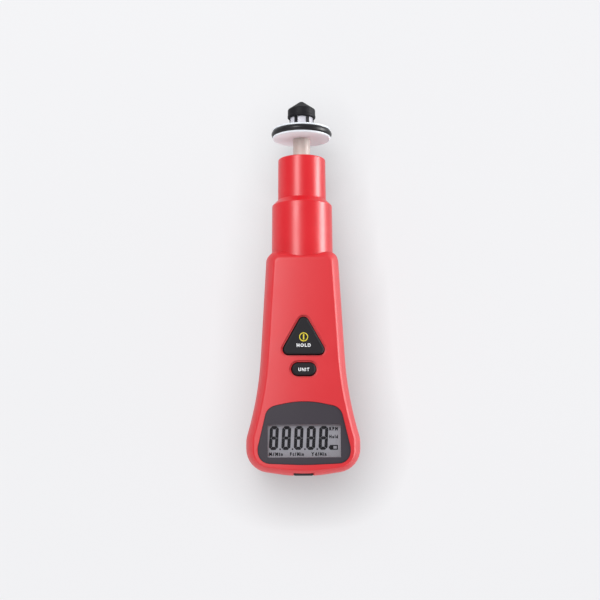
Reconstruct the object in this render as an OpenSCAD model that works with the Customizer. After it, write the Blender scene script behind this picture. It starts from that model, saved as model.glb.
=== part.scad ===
// Handheld contact and non-contact tachometer, lying on its back with the contact adapter fitted.
// Millimetres. Lengths along the instrument run from the tail, and the finished part is
// centred over its resting face. The barrel's axis lies in the parting plane of the case.

/* [Body] */
// Length of the case, tail to shoulder
body_len = 115; // [114:0.5:116]
// Depth of the case, back to face
body_depth = 40; // [39:0.5:42]
// Height of the barrel axis and of the parting plane above the back
axis_z = 22.8; // [22:0.1:23.5]
// Half width of the case at the shoulder
shoulder_half = 18.5; // [18.2:0.1:19]
// Half width of the case at the waist
waist_half = 22.76; // [22:0.1:23.5]
// Half width of the case at the hip
hip_half = 29.05; // [28.5:0.1:30]
// Thickness of the case walls
wall = 2.2; // [2:0.1:2.4]
// Rounding of the front edge of the case
face_round = 1.5; // [1:0.1:1.5]
// Rounding of the back edge of the case
back_round = 4; // [3:0.5:5]

/* [Display] */
// Width of the display opening in the panel
window_w = 36.5; // [34:0.1:37]
// Height of the display opening in the panel
window_h = 16.4; // [15:0.1:17]
// Tail to the lower edge of the display opening
window_y = 9; // [8.8:0.1:9.5]
// Thickness of the display panel
panel_t = 0.9; // [0.7:0.1:1]

/* [Keys] */
// Half base of the triangular key before its corners are rounded
hold_half = 11.95; // [11.5:0.05:12.6]
// Height of the triangular key before its corners are rounded
hold_rise = 21.35; // [21:0.05:22.5]
// Tail to the base of the triangular key
hold_y = 60.25; // [59.5:0.05:61]
// Corner rounding of the triangular key
hold_round = 2.5; // [2:0.1:3]
// Length of the oval key
unit_w = 11.9; // [11.5:0.1:13]
// Width of the oval key
unit_h = 6.2; // [6:0.1:7]
// Tail to the middle of the oval key
unit_y = 52.85; // [52:0.05:53]
// How far the keys stand above the face
key_proud = 1; // [0.8:0.1:1.2]

/* [Adapter] */
// Tail to the chamfered step of the barrel
step_y = 139.7; // [139:0.1:141]
// Tail to the front end of the barrel
barrel_end = 164.8; // [164:0.1:166]
// Radius of the wide stage of the barrel where it enters the case
wide_r = 15.9; // [15.7:0.1:16]
// Radius of the narrow stage of the barrel at the step
narrow_r = 12.55; // [12.3:0.05:12.8]
// Radius of the nozzle that the adapter pushes onto
nozzle_r = 13.5; // [13.4:0.05:13.55]

/* [Rotor] */
// Tail to the point of the rubber cone
total_len = 196.5; // [196:0.1:198]
// Radius over the tyre of the surface wheel
tyre_r = 15.9; // [15.5:0.05:16.2]
// Thickness of the tyre's round section
tyre_t = 3.2; // [2.8:0.1:3.3]
// Tail to the lower side of the surface wheel
wheel_y = 175.9; // [175.7:0.1:176.4]
// Thickness of the surface wheel
wheel_t = 5.2; // [5:0.1:5.4]
// Radius of the spindle outside the barrel
collar_r = 4.5; // [4.2:0.1:4.8]

/* [Battery] */
// Width of the nine volt battery
cell_w = 26.2; // [25.5:0.1:26.4]
// Thickness of the nine volt battery
cell_t = 17.2; // [16.5:0.1:17.4]
// Length of the nine volt battery without its terminals
cell_len = 46.4; // [45.5:0.1:46.6]

/* [Hidden] */
$fn = 64;

red = [0.83, 0.08, 0.1];
charcoal = [0.16, 0.16, 0.18];
panel_grey = [0.28, 0.27, 0.3];
ivory = [0.9, 0.87, 0.83];
white = [0.95, 0.95, 0.95];
board_green = [0.1, 0.35, 0.2];
bronze = [0.72, 0.52, 0.3];
steel = [0.75, 0.76, 0.78];
clear = [0.8, 0.88, 0.92];

// Steps of each rounded corner of an outline, and of half the tail's long curve
corner_steps = 8;
tail_steps = 6;
// Steps of the rounded edges between wall and face, outside and inside
edge_steps = 5;
inner_steps = 3;
// A little more than nothing, so that a cut passes through a face
over = 0.5;

// Parting outline of the case as corners, each [x, y, rounding], shoulder to tail, right half
parting_corners = [
    [shoulder_half, body_len, 5],
    [waist_half, 40.6, 175],
    [hip_half, 18.93, 14],
    [hip_half, 3.47, 12],
    [0, -0.89, 80.6]
];
// How each corner moves from the parting plane to an inset of edge_in
edge_in = 4.4;
edge_shift = [[-4.3, -5.6, -2.2], [-4.4, 1.4, 3], [-4.15, -0.93, -5], [-4.15, 1.43, -4], [0, 3.19, -4.6]];
// Inset of the wall at its bend, at the edge of the face and at the edge of the back, along the sides
bend_in = 1.2;
face_in = 4.1;
back_in = 5;
// Drop of the bend below the face, and its rounding
bend_drop = 3.7;
bend_round = 13;
// Rounding inside the edges of the case
inner_round = 1;

// Inside of the case
cavity_top = 105.5;
inner_face = body_depth - wall;
socket_floor = 107.5;
socket_r = wide_r + 0.3;
nozzle_gap = 0.1;

// Panel outline, right half, corners [x, y, rounding] from the top
panel_corners = [[0, 37.75, 46], [18.4, 33.9, 6.5], [23.2, 13.5, 8], [22.7, 6.05, 6], [0, 5.1, 120]];
panel_mid = 20;
panel_recess = 1.2;
panel_gap = 0.12;

// Circuit board and what stands on it
board_z = 29.4;
board_t = 1.6;
board_top = board_z + board_t;
board_end = 100;
board_in = 5.06;
board_gap = 0.4;

// Screws, [x, y] of the right one of each pair
case_screw_at = [[11.2, 92], [16.4, 36]];
board_screw_at = [[12.2, 83.5], [14.5, 46.5]];
case_boss_r = 2.9;
case_head_r = 2;
case_head_t = 1.7;
case_head_z = 9;
case_screw_top = 30;
case_pilot_r = 1.2;
case_hole_r = 1.5;
board_boss_r = 2.4;
board_head_r = 1.8;
board_head_t = 1.1;
board_screw_top = board_top + 4.5;
board_pilot_r = 0.9;
board_hole_r = 1.1;
thread_gap = 0.02;

// Display stack
lcd_half = 19;
lcd_low = 8.3;
lcd_high = 27;
lcd_z = 35.4;
lcd_t = 1.8;
lens_t = 0.9;
frame_rim = 0.9;

// Keys: flange under the face, skirt through it, switch below
key_gap = 0.45;
key_flange_z = 36.5;
key_flange_t = 0.9;
key_flange_rim = 1;
plunger_top = 36;
plunger_r = 1.7;
stem_r = 2.2;
switch_w = 6;
switch_h = 3.5;
hold_switch_y = hold_y + hold_rise / 3;
sink_rim = 0.8;
sink_depth = 0.7;

// Strap recess in the tail, and the bail across it, whose legs sit in the recess's back wall
strap_half = 5.2;
strap_low = axis_z - 2;
strap_high = axis_z + 13.5;
strap_front = 1.6;
strap_roof_front = 2.4;
strap_deep = 5.4;
strap_wall = 1.4;
bail_r = 0.9;
bail_y = 1;
bail_x = 4.1;
bail_seat = 1.2;

// Battery, its bay and its door
cell_y = 8.4;
cell_z = 3.2;
terminal_x = 6.35;
terminal_h = 2.5;
bay_half = 13.5;
bay_wall = 1.4;
bay_end = 59.6;
door_end = 62;
door_lip = 9;
door_gap = 0.15;
rail_low = 0.9;
rail_high = 1.7;
rail_out = 0.5;

// Turned parts on the axis, distances from the tail
nozzle_back = 101.5;
nozzle_end = 134;
nozzle_bore = 11.5;
flange_r = 14.5;
window_seat = 132.2;
barrel_back = 108;
chamber_end = 138.6;
step_rise = 3.1;
bush_r = 6;
bush_len = 8.2;
journal_r = 3;
run_gap = 0.03;
hub_r = 6;
hub_end = 190;
rotor_pin_r = 3.5;
disc_y = 136.2;
disc_r = 11;
cone_rim_y = 187.2;
cone_r = 7.4;
cone_side = 7.25;
bead_end = cone_rim_y + 1.2;
slot_half = 0.9;
slot_in = rotor_pin_r + 0.05;
slot_floor = 1.7;
cone_skirt = 191.9;

function xy(p) = [p.x, p.y];
function unit(v) = v / norm(v);
function mirrored(p) = [-p.x, p.y];

// Points of a rounded corner at p, coming from a and going to b
function arc_at(a, p, b, r, steps) =
    let (u = unit(a - p), v = unit(b - p), half = acos(u * v) / 2)
    let (centre = p + unit(u + v) * r / sin(half), from = p + u * r / tan(half) - centre)
    let (to = p + v * r / tan(half) - centre, start = atan2(from.y, from.x))
    let (sweep = atan2(cross(from, to), from * to))
    [for (k = [0 : steps]) centre + r * [cos(start + sweep * k / steps), sin(start + sweep * k / steps)]];

// Closed outline from corners [x, y, rounding]
function rounded(corners, steps = corner_steps) =
    let (n = len(corners))
    [for (i = [0 : n - 1])
        let (p = corners[i], a = corners[(i + n - 1) % n], b = corners[(i + 1) % n])
        each p[2] > 0 ? arc_at(xy(a), xy(p), xy(b), p[2], steps) : [xy(p)]];

// Whole corner list from its right half, where corners on the axis are not repeated
function both_sides(half) =
    concat(half, [for (p = reversed(half)) if (p.x > 0) [-p.x, p.y, p[2]]]);

// Panel corners, pulled in by the gap round it
panel_inset = [for (p = panel_corners)
    [max(0, p.x - panel_gap), p.y + (p.y > panel_mid ? -panel_gap : panel_gap), p[2]]];

// Loop of points from the right half of a case outline, in equal rungs across the axis
function half_loop(c) =
    let (last = len(c) - 1)
    let (tail = arc_at(xy(c[last - 1]), xy(c[last]), mirrored(c[last - 1]), c[last][2], 2 * tail_steps + 1))
    concat(
        [for (i = [0 : last - 1])
            let (a = i == 0 ? mirrored(c[0]) : xy(c[i - 1]))
            each arc_at(a, xy(c[i]), xy(c[i + 1]), c[i][2], corner_steps)],
        [for (k = [0 : tail_steps]) tail[k]]);
function whole_loop(half) = concat(half, [for (p = reversed(half)) mirrored(p)]);

// Case corners at an inset d from the parting outline
function case_corners(d) = parting_corners + edge_shift * d / edge_in;
// The same, cut short at the end wall that holds the barrel's socket
function short_corners(d, top, r = 2) =
    let (c = case_corners(d), s = (top - c[1].y) / (c[0].y - c[1].y))
    concat([[c[1].x + (c[0].x - c[1].x) * s, top, r]], [for (i = [1 : len(c) - 1]) c[i]]);

function ring(corners, z) = [for (p = whole_loop(half_loop(corners))) [p.x, p.y, z]];

// Section of a wall as [inset, height] through corners [inset, height, rounding], ending towards the last
function wall_section(c, steps) =
    [for (i = [0 : len(c) - 2])
        each i == 0 ? [xy(c[0])] : arc_at(xy(c[i - 1]), xy(c[i]), xy(c[i + 1]), c[i][2], steps)];
face_outside = [[0, axis_z, 0], [bend_in, body_depth - bend_drop, bend_round],
    [face_in, body_depth, face_round], [shoulder_half, body_depth, 0]];
face_inside = [[wall, axis_z, 0], [bend_in + wall, inner_face - bend_drop, bend_round / 2],
    [face_in + wall, inner_face, inner_round], [shoulder_half, inner_face, 0]];
back_outside = [[0, axis_z, 0], [back_in, 0, back_round], [shoulder_half, 0, 0]];
back_inside = [[wall, axis_z, 0], [back_in + wall, wall, inner_round], [shoulder_half, wall, 0]];
function reversed(list) = [for (i = [len(list) - 1 : -1 : 0]) list[i]];

// Closed skin over a row of loops, with a cap of rungs at both ends
module skin(loops, flip = false) {
    n = len(loops[0]);
    last = len(loops) - 1;
    sides = [for (j = [0 : last - 1]) for (i = [0 : n - 1])
        let (k = (i + 1) % n, a = j * n, b = a + n)
        each [[a + i, a + k, b + k], [a + i, b + k, b + i]]];
    rungs = [for (i = [0 : n / 2 - 2]) [i, i + 1, n - 2 - i, n - 1 - i]];
    caps = concat([for (q = rungs) reversed(q)], [for (q = rungs) [for (v = q) v + last * n]]);
    faces = concat(sides, caps);
    polyhedron([for (loop = loops) each loop], flip ? [for (f = faces) reversed(f)] : faces);
}

// Hollow case half between its outside and its inside section
module case_half(outside, inside, flip) {
    skin(concat(
        [for (p = reversed(wall_section(inside, inner_steps))) ring(short_corners(p[0], cavity_top), p[1])],
        [for (p = wall_section(outside, edge_steps)) ring(case_corners(p[0]), p[1])]), flip);
}

// Moves a piece drawn from the tail to its place over the resting face
module placed() { translate([0, -total_len / 2, 0]) children(); }
// Solid of revolution about the barrel axis from a profile of [radius, distance from the tail]
module turned(profile) { translate([0, 0, axis_z]) rotate([-90, 0, 0]) rotate_extrude() polygon(profile); }
// Plain cylinder along the barrel axis, offset by x
module along(r, from, to, x = 0) {
    translate([x, from, axis_z]) rotate([-90, 0, 0]) cylinder(r = r, h = to - from);
}
// Upright cylinder
module post(at, r, from, to) { translate([at.x, at.y, from]) cylinder(r = r, h = to - from); }
module pairs(list) {
    for (p = list) for (side = [-1, 1]) translate([side * p.x, p.y, 0]) children();
}
// Box between two corners
module block(low, high) { translate(low) cube(high - low); }

// Outlines of the keys
function triangle_corners(grow) =
    let (slope = norm([hold_half, hold_rise]), lift = grow * slope / hold_half)
    let (wide = hold_half + grow * (slope + hold_half) / hold_rise)
    [[0, hold_y + hold_rise + lift, hold_round + grow], [wide, hold_y - grow, hold_round + grow],
        [-wide, hold_y - grow, hold_round + grow]];
function oval_corners(grow) =
    let (x = unit_w / 2 + grow, y = unit_h / 2 + grow, r = y - 0.01)
    [[-x, unit_y + y, r], [x, unit_y + y, r], [x, unit_y - y, r], [-x, unit_y - y, r]];
module prism(corners, from, to) {
    translate([0, 0, from]) linear_extrude(to - from) polygon(rounded(corners));
}
// Openings of a key through the face, with a shallow sunk rim round it
module key_opening(around) {
    prism(around[0], inner_face - over, body_depth + over);
    prism(around[1], body_depth - sink_depth, body_depth + over);
}

// Cuts that both case halves share: the barrel's socket, the nozzle's seat and the strap recess
module shared_cuts() {
    along(socket_r, socket_floor, body_len + over);
    along(nozzle_r + nozzle_gap, cavity_top - over, socket_floor + over);
    block([-strap_half, -over, strap_low], [strap_half, strap_deep, strap_high]);
    for (side = [-1, 1]) along(bail_r + 0.02, strap_deep - over, strap_deep + bail_seat, side * bail_x);
}
module strap_pocket(from, low, high, grow = 0) {
    x = strap_half + strap_wall + grow;
    block([-x, from, low], [x, strap_deep + strap_wall + grow, high]);
}

module front_case() {
    color(red) placed() difference() {
        union() {
            case_half(face_outside, face_inside, false);
            pairs(case_screw_at) post([0, 0], case_boss_r, axis_z, inner_face + over);
            pairs(board_screw_at) post([0, 0], board_boss_r, board_top, inner_face + over);
            strap_pocket(strap_front, axis_z, strap_high);
            strap_pocket(strap_roof_front, strap_high - over, inner_face + 0.1);
        }
        shared_cuts();
        pairs(case_screw_at) post([0, 0], case_pilot_r, axis_z - over, case_screw_top + 1);
        pairs(board_screw_at) post([0, 0], board_pilot_r, board_top - over, board_screw_top + over);
        prism(both_sides(panel_corners), body_depth - panel_recess, body_depth + over);
        block([-window_w / 2 - 0.6, window_y - 0.6, inner_face - over],
            [window_w / 2 + 0.6, window_y + window_h + 0.6, body_depth]);
        key_opening([triangle_corners(key_gap), triangle_corners(key_gap + sink_rim)]);
        key_opening([oval_corners(key_gap), oval_corners(key_gap + sink_rim)]);
    }
}

// The space that the battery door fills, with the grooves for its rails
module door_space(gap) {
    block([-bay_half - gap, -over, -over], [bay_half + gap, door_end + gap, wall + gap]);
    block([-bay_half - gap, -over, -over], [bay_half + gap, cell_y - 0.2, door_lip + gap]);
}

module rear_case() {
    bay_x = bay_half + bay_wall;
    color(red) placed() difference() {
        union() {
            case_half(back_outside, back_inside, true);
            pairs(case_screw_at) post([0, 0], case_boss_r, wall - over, axis_z);
            strap_pocket(strap_front, strap_low - strap_wall, axis_z);
            for (side = [-1, 1]) translate([side * (bay_half + bay_x) / 2, 0, 0])
                block([-bay_wall / 2, cell_y, wall - over], [bay_wall / 2, bay_end, axis_z - 6]);
            block([-bay_x, bay_end, wall - over], [bay_x, bay_end + bay_wall, axis_z - 6]);
        }
        shared_cuts();
        pairs(case_screw_at) {
            post([0, 0], case_head_r + 0.2, -over, case_head_z);
            post([0, 0], case_hole_r, case_head_z - over, axis_z + over);
        }
        door_space(0);
        block([-bay_half - rail_out - door_gap, -over, rail_low - door_gap],
            [bay_half + rail_out + door_gap, door_end, rail_high + door_gap]);
        for (side = [-1, 1]) block([side * terminal_x - 1.4, bay_end - over, 9.5],
            [side * terminal_x + 1.4, bay_end + bay_wall + over, axis_z]);
    }
}

module battery_door() {
    grip = [for (k = [0 : 5]) 14 + 2.4 * k];
    color(red) placed() difference() {
        union() {
            intersection() {
                case_half(back_outside, back_inside, true);
                door_space(-door_gap);
            }
            for (side = [0, 1]) mirror([side, 0, 0])
                block([bay_half - 1, 12, rail_low], [bay_half + rail_out, door_end - 2, rail_high]);
        }
        for (y = grip) block([-8, y, -over], [8, y + 1.2, 0.5]);
    }
}

module display_panel() {
    color(panel_grey) placed() difference() {
        prism(both_sides(panel_inset), body_depth - panel_recess, body_depth - panel_recess + panel_t);
        block([-window_w / 2, window_y, inner_face], [window_w / 2, window_y + window_h, body_depth + over]);
    }
}

module display_lens() {
    color(clear) placed()
        block([-window_w / 2 - 0.5, window_y - 0.5, lcd_z + lcd_t],
            [window_w / 2 + 0.5, window_y + window_h + 0.5, lcd_z + lcd_t + lens_t]);
}

module lcd_glass() {
    color([0.55, 0.57, 0.55]) placed()
        block([-lcd_half, lcd_low, lcd_z], [lcd_half, lcd_high, lcd_z + lcd_t]);
}

module lcd_frame() {
    out = lcd_half + frame_rim;
    color(charcoal) placed() difference() {
        block([-out, lcd_low, board_top], [out, lcd_high + frame_rim, lcd_z + lcd_t]);
        block([-lcd_half, lcd_low - over, board_top - over], [lcd_half, lcd_high, lcd_z + lcd_t + over]);
    }
}

module zebra_strips() {
    color(charcoal) placed() for (y = [lcd_low + 0.3, lcd_high - 1.9])
        block([-lcd_half + 1.4, y, board_top], [lcd_half - 1.4, y + 1.4, lcd_z]);
}

module main_board() {
    color(board_green) placed() difference() {
        translate([0, 0, board_z]) linear_extrude(board_t)
            polygon(whole_loop(half_loop(short_corners(board_in, board_end))));
        pairs(case_screw_at) post([0, 0], case_boss_r + board_gap, board_z - over, board_top + over);
        pairs(board_screw_at) post([0, 0], board_hole_r, board_z - over, board_top + over);
        strap_pocket(0, board_z - over, board_top + over, board_gap);
    }
}

module controller_chip() {
    at = [0, 78, board_z];
    pitch = 1.2;
    color(charcoal) placed() translate(at) {
        block([-5.5, -5.5, -1.8], [5.5, 5.5, -0.2]);
        for (turn = [0 : 90 : 270]) rotate(turn) for (k = [-3 : 3])
            block([5.3, k * pitch - 0.25, -1.1], [7.2, k * pitch + 0.25, 0]);
    }
}

module quartz_crystal() {
    half = 3.2;
    r = 2.3;
    color(steel) placed() translate([0, 90, board_z - 3.5]) linear_extrude(3.5) {
        square([2 * half, 2 * r], center = true);
        for (side = [-1, 1]) translate([side * half, 0]) circle(r);
    }
}

// Rounded top edge of a key as [inset, height]
key_top = body_depth + key_proud;
cap_round = 0.8;
cap_profile = [for (turn = [0 : 18 : 90])
    [cap_round * (1 - cos(turn)), key_top - cap_round * (1 - sin(turn))]];

module hold_button() {
    levels = concat([[0, key_flange_z + 0.2]], cap_profile);
    color(charcoal) placed() {
        prism(triangle_corners(key_flange_rim), key_flange_z, key_flange_z + key_flange_t);
        skin([for (p = levels)
            let (c = triangle_corners(-p[0]))
            [for (q = whole_loop(half_loop([c[1], c[0]]))) [q.x, q.y, p[1]]]], true);
        post([0, hold_switch_y], stem_r, plunger_top, key_flange_z + over);
    }
}

module unit_button() {
    r = unit_h / 2;
    straight = unit_w / 2 - r;
    section = concat([[0, key_flange_z + 0.2], [r, key_flange_z + 0.2]],
        [for (p = cap_profile) [r - p[0], p[1]]], [[0, key_top]]);
    whole = concat(section, [for (p = reversed(section)) if (p.x > 0) mirrored(p)]);
    color(charcoal) placed() {
        prism(oval_corners(key_flange_rim), key_flange_z, key_flange_z + key_flange_t);
        translate([0, unit_y, 0]) {
            rotate([90, 0, 90]) translate([0, 0, -straight]) linear_extrude(2 * straight) polygon(whole);
            for (side = [-1, 1]) translate([side * straight, 0, 0]) rotate_extrude() polygon(section);
        }
        post([0, unit_y], stem_r, plunger_top, key_flange_z + over);
    }
}

module tact_switch(y) {
    difference() {
        block([-switch_w / 2, y - switch_w / 2, board_top],
            [switch_w / 2, y + switch_w / 2, board_top + switch_h]);
        post([0, y], plunger_r + 0.05, board_top + 1.4, board_top + switch_h + over);
    }
}
module tact_plunger(y) { post([0, y], plunger_r, board_top + 2.2, plunger_top); }

module hold_switch() { color(charcoal) placed() tact_switch(hold_switch_y); }
module hold_plunger() { color(charcoal) placed() tact_plunger(hold_switch_y); }
module unit_switch() { color(charcoal) placed() tact_switch(unit_y); }
module unit_plunger() { color(charcoal) placed() tact_plunger(unit_y); }

module battery() {
    end = cell_y + cell_len;
    mid = cell_z + cell_t / 2;
    color(steel) placed() {
        translate([0, end, mid]) rotate([90, 0, 0]) linear_extrude(cell_len) polygon(rounded([
            [-cell_w / 2, cell_t / 2, 2], [cell_w / 2, cell_t / 2, 2],
            [cell_w / 2, -cell_t / 2, 2], [-cell_w / 2, -cell_t / 2, 2]], 4));
        translate([terminal_x, end, mid]) rotate([-90, 0, 0]) cylinder(r = 2.9, h = terminal_h);
        translate([-terminal_x, end, mid]) rotate([-90, 0, 0]) difference() {
            cylinder(r = 4.2, h = terminal_h, $fn = 6);
            translate([0, 0, 0.4]) cylinder(r = 2.95, h = terminal_h);
        }
    }
}

module battery_snap() {
    end = cell_y + cell_len;
    mid = cell_z + cell_t / 2;
    plate_y = end + terminal_h + 0.1;
    color(charcoal) placed() {
        block([-12, plate_y, mid - 6.5], [12, bay_end, mid + 6.5]);
        translate([terminal_x, end + 0.3, mid]) rotate([-90, 0, 0]) difference() {
            cylinder(r = 4.2, h = plate_y - end);
            translate([0, 0, -over]) cylinder(r = 3, h = plate_y - end + over - 0.3);
        }
        translate([-terminal_x, end + 0.6, mid]) rotate([-90, 0, 0]) cylinder(r = 2.7, h = plate_y - end);
    }
}

module battery_leads() {
    mid = cell_z + cell_t / 2;
    wire_r = 0.7;
    bend = bay_end + 4;
    color([0.1, 0.1, 0.1]) placed() for (side = [-1, 1]) translate([side * terminal_x, 0, 0]) {
        translate([0, bay_end, mid]) rotate([-90, 0, 0]) cylinder(r = wire_r, h = bend - bay_end);
        translate([0, bend, mid]) sphere(r = wire_r);
        translate([0, bend, mid]) cylinder(r = wire_r, h = board_z - mid);
    }
}

// Screw standing head down: pan head with a cross slot, and a plain shank for the thread
module screw(head_r, head_t, shank_r, seat, tip) {
    difference() {
        post([0, 0], head_r, seat - head_t, seat);
        for (turn = [0, 90]) rotate(turn)
            block([-head_r * 0.6, -0.3, seat - head_t - over], [head_r * 0.6, 0.3, seat - head_t * 0.45]);
    }
    post([0, 0], shank_r, seat - 0.1, tip);
}
module case_screws() {
    color(steel) placed() pairs(case_screw_at)
        screw(case_head_r, case_head_t, case_pilot_r - thread_gap, case_head_z, case_screw_top);
}
module board_screws() {
    color(steel) placed() pairs(board_screw_at)
        screw(board_head_r, board_head_t, board_pilot_r - thread_gap, board_z, board_screw_top);
}

module strap_post() {
    color(charcoal) placed() {
        translate([-bail_x, bail_y, axis_z]) rotate([0, 90, 0]) cylinder(r = bail_r, h = 2 * bail_x);
        for (side = [-1, 1]) {
            translate([side * bail_x, bail_y, axis_z]) sphere(r = bail_r);
            along(bail_r, bail_y, strap_deep + bail_seat, side * bail_x);
        }
    }
}

module sensor_nozzle() {
    color(charcoal) placed() turned([
        [nozzle_bore, nozzle_back], [flange_r, nozzle_back], [flange_r, cavity_top - 0.2],
        [nozzle_r, cavity_top - 0.2], [nozzle_r, nozzle_end - 1], [nozzle_r - 1, nozzle_end],
        [nozzle_bore, nozzle_end], [nozzle_bore, window_seat], [nozzle_bore - 1, window_seat],
        [nozzle_bore - 1, window_seat - 1], [nozzle_bore, window_seat - 1]]);
}

module sensor_window() { color(clear) placed() along(nozzle_bore - 0.05, window_seat, window_seat + 1.2); }

// Optics behind the window: the laser on one side, the receiver with its lens on the other
laser_x = -6.4;
lens_x = 4.2;
holder_back = 104;
holder_end = 126;
lens_seat = 120.5;

module optics_holder() {
    color(charcoal) placed() difference() {
        along(nozzle_bore - 0.05, holder_back, holder_end);
        along(3.1, holder_back + 3, holder_end + over, laser_x);
        along(1.5, holder_back - over, holder_back + 4, laser_x);
        along(6, lens_seat, holder_end + over, lens_x);
        along(4.8, holder_back + 5.5, lens_seat + over, lens_x);
        along(2.6, holder_back - over, holder_back + 6, lens_x);
    }
}

module laser_module() {
    color(bronze) placed() difference() {
        along(3.05, holder_back + 3.5, holder_end + 0.6, laser_x);
        along(1.6, holder_end - 2.5, holder_end + 1, laser_x);
    }
}

module receiver_lens() {
    edge = 1.4;
    bulge_r = 9;
    lens_r = 5.95;
    crown = lens_seat + edge + bulge_r - sqrt(bulge_r * bulge_r - lens_r * lens_r);
    color(clear) placed() translate([lens_x, 0, 0]) intersection() {
        along(lens_r, lens_seat, crown + over);
        translate([0, crown - bulge_r, axis_z]) sphere(r = bulge_r);
    }
}

module photo_sensor() { color(charcoal) placed() along(2.5, holder_back + 0.1, holder_back + 5, lens_x); }

module sensor_board() {
    color(board_green) placed() along(nozzle_bore - 0.3, holder_back - board_t, holder_back - 0.1);
}

module sensor_ribbon() {
    t = 0.4;
    half = 4;
    face_y = holder_back - board_t;
    bend = 2.4;
    turn_y = face_y - bend;
    turn_z = board_z - bend;
    color([0.75, 0.72, 0.65]) placed() {
        block([-half, face_y - t, turn_z - 4], [half, face_y, turn_z]);
        translate([-half, turn_y, turn_z]) rotate([0, 90, 0]) rotate(90) rotate_extrude(angle = 90)
            translate([bend - t, 0]) square([t, 2 * half]);
        block([-half, turn_y - 5, board_z - t], [half, turn_y, board_z]);
    }
}

module adapter_barrel() {
    shell_r = narrow_r - 2;
    core_r = bush_r + 2.2;
    step_r = wide_r - 0.25;
    tip_r = narrow_r - 0.15;
    bore = nozzle_r + nozzle_gap;
    core_end = barrel_end - 2.2;
    outer = rounded([
        [bore, barrel_back, 0], [wide_r, barrel_back, 0], [step_r, step_y, 0.8],
        [narrow_r, step_y + step_rise, 0.6], [tip_r, barrel_end, 0.8], [bush_r, barrel_end, 0],
        [bush_r, barrel_end - bush_len, 0], [journal_r + 0.6, barrel_end - bush_len, 0],
        [journal_r + 0.6, chamber_end + bush_len + 0.8, 0], [bush_r, chamber_end + bush_len + 0.8, 0],
        [bush_r, chamber_end, 0], [core_r, chamber_end, 0], [core_r, core_end, 0], [shell_r, core_end, 0],
        [shell_r, chamber_end, 0], [bore, chamber_end, 0]], 4);
    color(red) placed() turned(outer);
}

module bush(from) {
    turned([[journal_r + run_gap, from], [bush_r - 0.02, from], [bush_r - 0.02, from + bush_len],
        [journal_r + run_gap, from + bush_len]]);
}
module front_bush() { color(bronze) placed() bush(barrel_end - bush_len); }
module rear_bush() { color(bronze) placed() bush(chamber_end + 0.8); }

module spindle() {
    disc_seat = journal_r - 0.5;
    groove = chamber_end - 0.2;
    color(ivory) placed() turned([
        [0, disc_y - 0.4], [disc_seat, disc_y - 0.4], [disc_seat, disc_y + 1.6], [journal_r, disc_y + 1.6],
        [journal_r, groove], [journal_r - 0.7, groove], [journal_r - 0.7, groove + 0.8],
        [journal_r, groove + 0.8], [journal_r, barrel_end + 0.4], [collar_r, barrel_end + 0.4],
        [collar_r, wheel_y], [rotor_pin_r, wheel_y], [rotor_pin_r, hub_end + 0.1],
        [rotor_pin_r - 0.5, hub_end + 0.6], [0, hub_end + 0.6]]);
}

module retaining_clip() {
    from = chamber_end - 0.15;
    color(steel) placed() difference() {
        along(5.2, from, from + 0.7);
        along(journal_r - 0.65, from - over, from + 1);
        translate([0, from - over, axis_z]) block([-1.6, 0, -6], [1.6, 2, 0]);
    }
}

module code_disc() {
    color(charcoal) placed() turned([
        [journal_r - 0.48, disc_y], [disc_r, disc_y], [disc_r, disc_y + 1.2], [5, disc_y + 1.2],
        [5, disc_y + 1.55], [journal_r - 0.48, disc_y + 1.55]]);
}

module reflector_patch() {
    color(steel) placed() translate([0, disc_y, axis_z]) rotate([90, 0, 0]) for (turn = [0, 180])
        rotate(turn) rotate_extrude(angle = 90) translate([5, 0]) square([disc_r - 5.5, 0.2]);
}

module surface_wheel() {
    mid = wheel_y + wheel_t / 2;
    rim = tyre_r - 0.6;
    ring_r = tyre_r - tyre_t / 2;
    section = tyre_t / 2 + 0.02;
    color(white) placed() difference() {
        turned(rounded([
            [rotor_pin_r + 0.02, wheel_y, 0], [rim, wheel_y, 0.8], [rim, wheel_y + wheel_t, 0.4],
            [rotor_pin_r + 0.02, wheel_y + wheel_t, 0]], 3));
        translate([0, mid, axis_z]) rotate([-90, 0, 0]) rotate_extrude() {
            translate([ring_r, 0]) circle(section);
            translate([ring_r, -section]) square([tyre_t, 2 * section]);
        }
    }
}

module wheel_tyre() {
    color(charcoal) placed() translate([0, wheel_y + wheel_t / 2, axis_z]) rotate([-90, 0, 0])
        rotate_extrude() translate([tyre_r - tyre_t / 2, 0]) circle(tyre_t / 2);
}

module tip_hub() {
    from = wheel_y + wheel_t;
    color(white) placed() difference() {
        turned([[rotor_pin_r + 0.02, from], [hub_r, from], [hub_r, hub_end], [rotor_pin_r + 0.02, hub_end]]);
        hub_slots(slot_half, from + slot_floor, hub_r + 1);
    }
}
// Radial bars in the places of the hub's slots
module hub_slots(half, from, out) {
    for (turn = [30 : 60 : 330]) translate([0, from, axis_z]) rotate([0, turn, 0])
        block([-half, 0, slot_in], [half, hub_end + 0.4 - from, out]);
}

module cone_tip() {
    inside = hub_r + 0.03;
    color(charcoal) placed() {
        turned(rounded([
            [inside, cone_rim_y, 0], [cone_r, cone_rim_y, 0.7], [cone_r, bead_end, 0.4],
            [cone_side, bead_end + 0.4, 0.2], [cone_side, cone_skirt, 1], [1, total_len - 0.2, 0.8],
            [0, total_len, 0], [0, hub_end + 1, 0], [rotor_pin_r + 0.3, hub_end + 1, 0],
            [rotor_pin_r + 0.3, hub_end + 0.1, 0], [inside, hub_end + 0.1, 0]], 4));
        hub_slots(slot_half - 0.05, wheel_y + wheel_t + slot_floor + 0.1, inside + 0.3);
    }
}

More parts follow.
